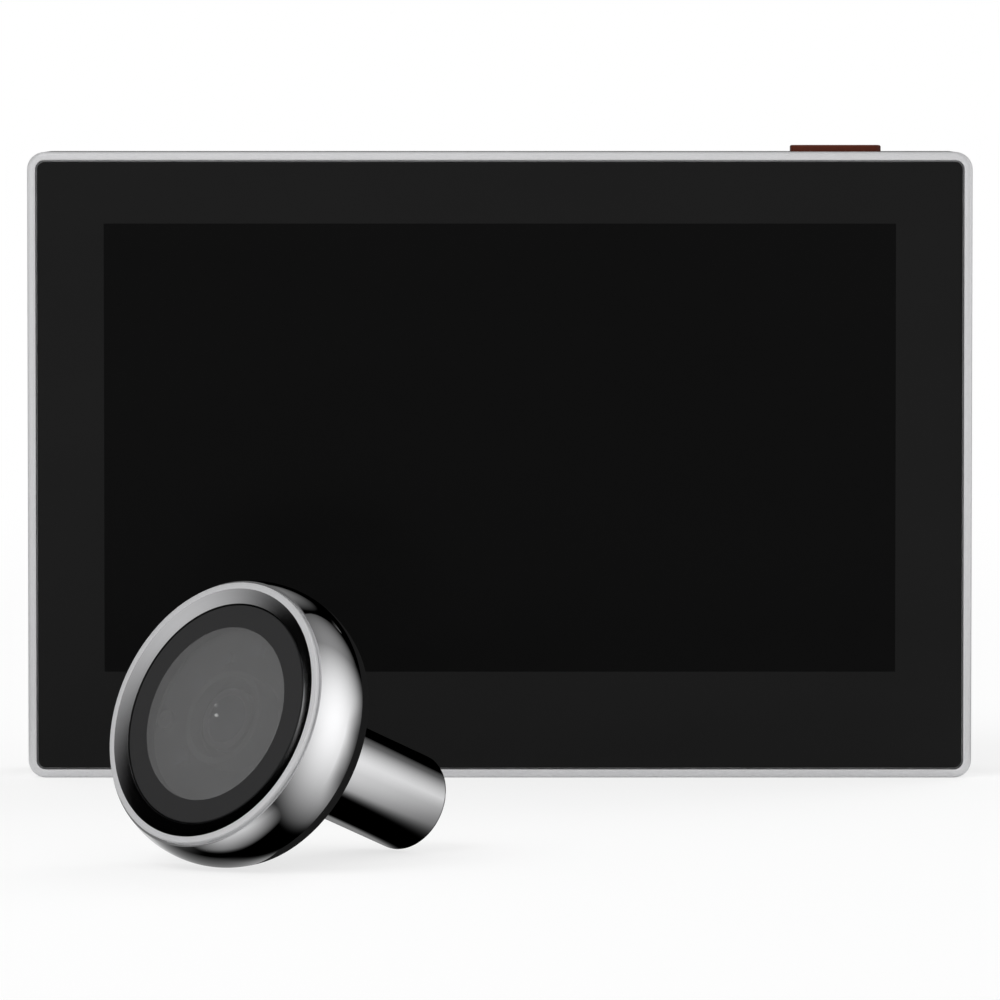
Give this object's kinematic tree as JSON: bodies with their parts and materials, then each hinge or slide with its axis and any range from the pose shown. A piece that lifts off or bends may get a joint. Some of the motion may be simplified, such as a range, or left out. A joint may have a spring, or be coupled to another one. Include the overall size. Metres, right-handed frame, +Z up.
{
  "type": "peephole door camera",
  "caption": "Door viewer set: a flat indoor monitor with a slide-off door bracket and hollow clamp bolt, and a round chromed outdoor camera on a barrel that goes through the door.",
  "frame": {"origin": "Middle of the monitor's flat base, on the surface that both units rest on.", "axes": "+X to the viewer's right along the screen, +Y away from the viewer towards the door, +Z up."},
  "size_m": [0.1134, 0.1727, 0.076],
  "materials": {
    "satin_silver": "satin silver, fine bead-blast",
    "cover_glass": "glossy glass with a black printed border",
    "adhesive_tape": "black double-sided tape",
    "lcd_dark": "unlit display surface",
    "tray_metal": "pressed sheet",
    "ribbon_amber": "flexible printed circuit",
    "chassis_plastic": "moulded, fine texture",
    "screw_steel": "plated steel screws",
    "board_green": "solder mask over glass laminate",
    "shield_metal": "tinned sheet",
    "chip_black": "moulded package",
    "connector_cream": "nylon connector body",
    "switch_black": "moulded switch case",
    "button_brown": "glossy red-brown moulding",
    "battery_foil": "pouch foil",
    "pad_white": "adhesive foam",
    "speaker_grey": "pressed basket and magnet",
    "rubber_black": "soft black rubber",
    "cover_black": "black moulding, fine spark texture",
    "bracket_steel": "zinc plated sheet",
    "pad_foam": "closed-cell foam",
    "bolt_steel": "turned and threaded",
    "polished_chrome": "mirror plating",
    "satin_ring": "turned satin ring",
    "window_smoke": "smoked window with a dark printed border",
    "lens_black": "anodised lens parts",
    "lens_glass": "coated glass",
    "lamp_epoxy": "clear-domed lamp"
  },
  "bodies": {
    "monitor": {"front_frame": "satin_silver", "cover_glass": "cover_glass", "glass_tape": "adhesive_tape", "display_gasket": "adhesive_tape", "lcd_panel": "lcd_dark", "backlight": "tray_metal", "display_flex": "ribbon_amber", "chassis_plate": "chassis_plastic", "chassis_screws": "screw_steel", "main_board": "board_green", "board_screws": "screw_steel", "soc_shield": "shield_metal", "wifi_module": "chip_black", "usb_socket": "shield_metal", "camera_socket": "connector_cream", "switch_body": "switch_black", "battery": "battery_foil", "battery_pad": "pad_white", "speaker": "speaker_grey", "speaker_gasket": "rubber_black", "microphone": "speaker_grey", "mic_boot": "rubber_black", "antenna": "ribbon_amber", "rear_cover": "cover_black", "case_screws": "screw_steel"},
    "button": {"button_cap": "button_brown", "switch_plunger": "connector_cream"},
    "bracket": {"bracket_plate": "bracket_steel", "bracket_pad": "pad_foam"},
    "clamp_bolt": {"clamp_bolt": "bolt_steel"},
    "camera_unit": {"head_shell": "polished_chrome", "bezel_ring": "satin_ring", "camera_window": "window_smoke", "window_seal": "rubber_black", "barrel": "polished_chrome", "barrel_screws": "screw_steel", "cable_grommet": "rubber_black", "door_pad": "rubber_black", "module_carrier": "chassis_plastic", "sensor_board": "board_green", "module_screws": "screw_steel", "board_header": "connector_cream", "image_sensor": "chip_black", "lens_holder": "lens_black", "ir_filter": "lens_glass", "lens_barrel": "lens_black", "front_lens": "lens_glass", "lens_shroud": "rubber_black", "ir_lamps": "lamp_epoxy", "light_sensor": "lamp_epoxy"}
  },
  "joints": [
    {"name": "button_press", "type": "slide", "parent": "monitor", "child": "button", "axis": [0, 0, -1], "range_m": [0, 0.0005], "stiffness_N_per_m": 1000, "springref_m": -0.0005},
    {"name": "bracket_slide", "type": "slide", "parent": "monitor", "child": "bracket", "axis": [0, 0, -1], "range_m": [0, 0.009]},
    {"name": "clamp_bolt_turn", "type": "hinge", "parent": "bracket", "child": "clamp_bolt", "pos_m": [0, 0.00845, 0.044], "axis": [0, 1, 0], "continuous": true},
    {"name": "camera_lift", "type": "slide", "parent": "monitor", "child": "camera_unit", "axis": [0, 0, 1], "range_m": [0, 0.06]}
  ]
}
